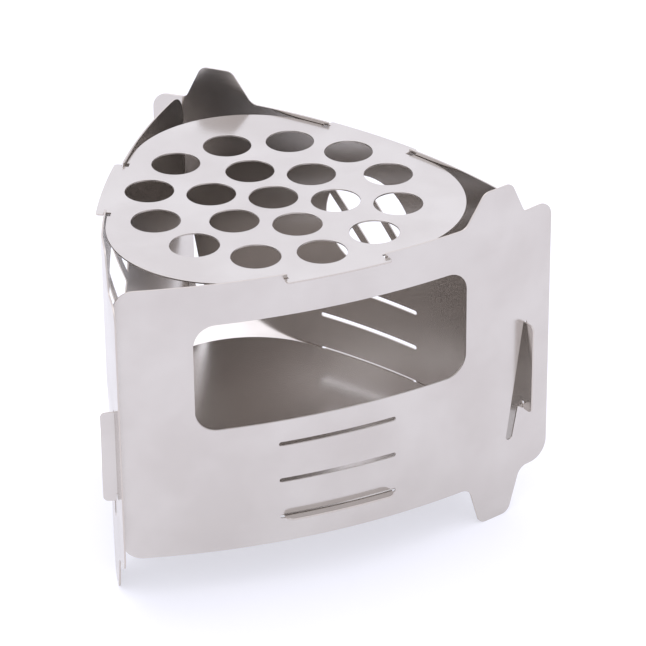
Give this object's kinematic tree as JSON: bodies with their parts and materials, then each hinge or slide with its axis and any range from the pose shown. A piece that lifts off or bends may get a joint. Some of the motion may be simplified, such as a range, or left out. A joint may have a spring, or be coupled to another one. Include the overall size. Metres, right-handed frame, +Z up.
{
  "type": "alcohol spirit stove",
  "caption": "Flat-pack spirit stove: bowed steel panels hooked into a triangular wind shield, with a floor plate and a lift-off perforated grate.",
  "frame": {"origin": "on the stove's upright axis, in the plane of the feet's bottom edges", "axes": "+Z up; the panel with the fuel window faces -Y; +X to the right seen from that side"},
  "size_m": [0.1394, 0.1293, 0.1098],
  "materials": {
    "panel_steel": "cold-rolled stainless sheet, bright, fine grain",
    "plate_steel": "cold-rolled stainless sheet, bright, fine grain"
  },
  "bodies": {
    "shield": {"front_panel": "panel_steel", "right_panel": "panel_steel", "left_panel": "panel_steel", "floor_plate": "plate_steel"},
    "grate": {"grate": "plate_steel"}
  },
  "joints": [
    {"name": "grate_lift", "type": "slide", "parent": "shield", "child": "grate", "axis": [0, 0, 1], "range_m": [0, 0.04]}
  ]
}
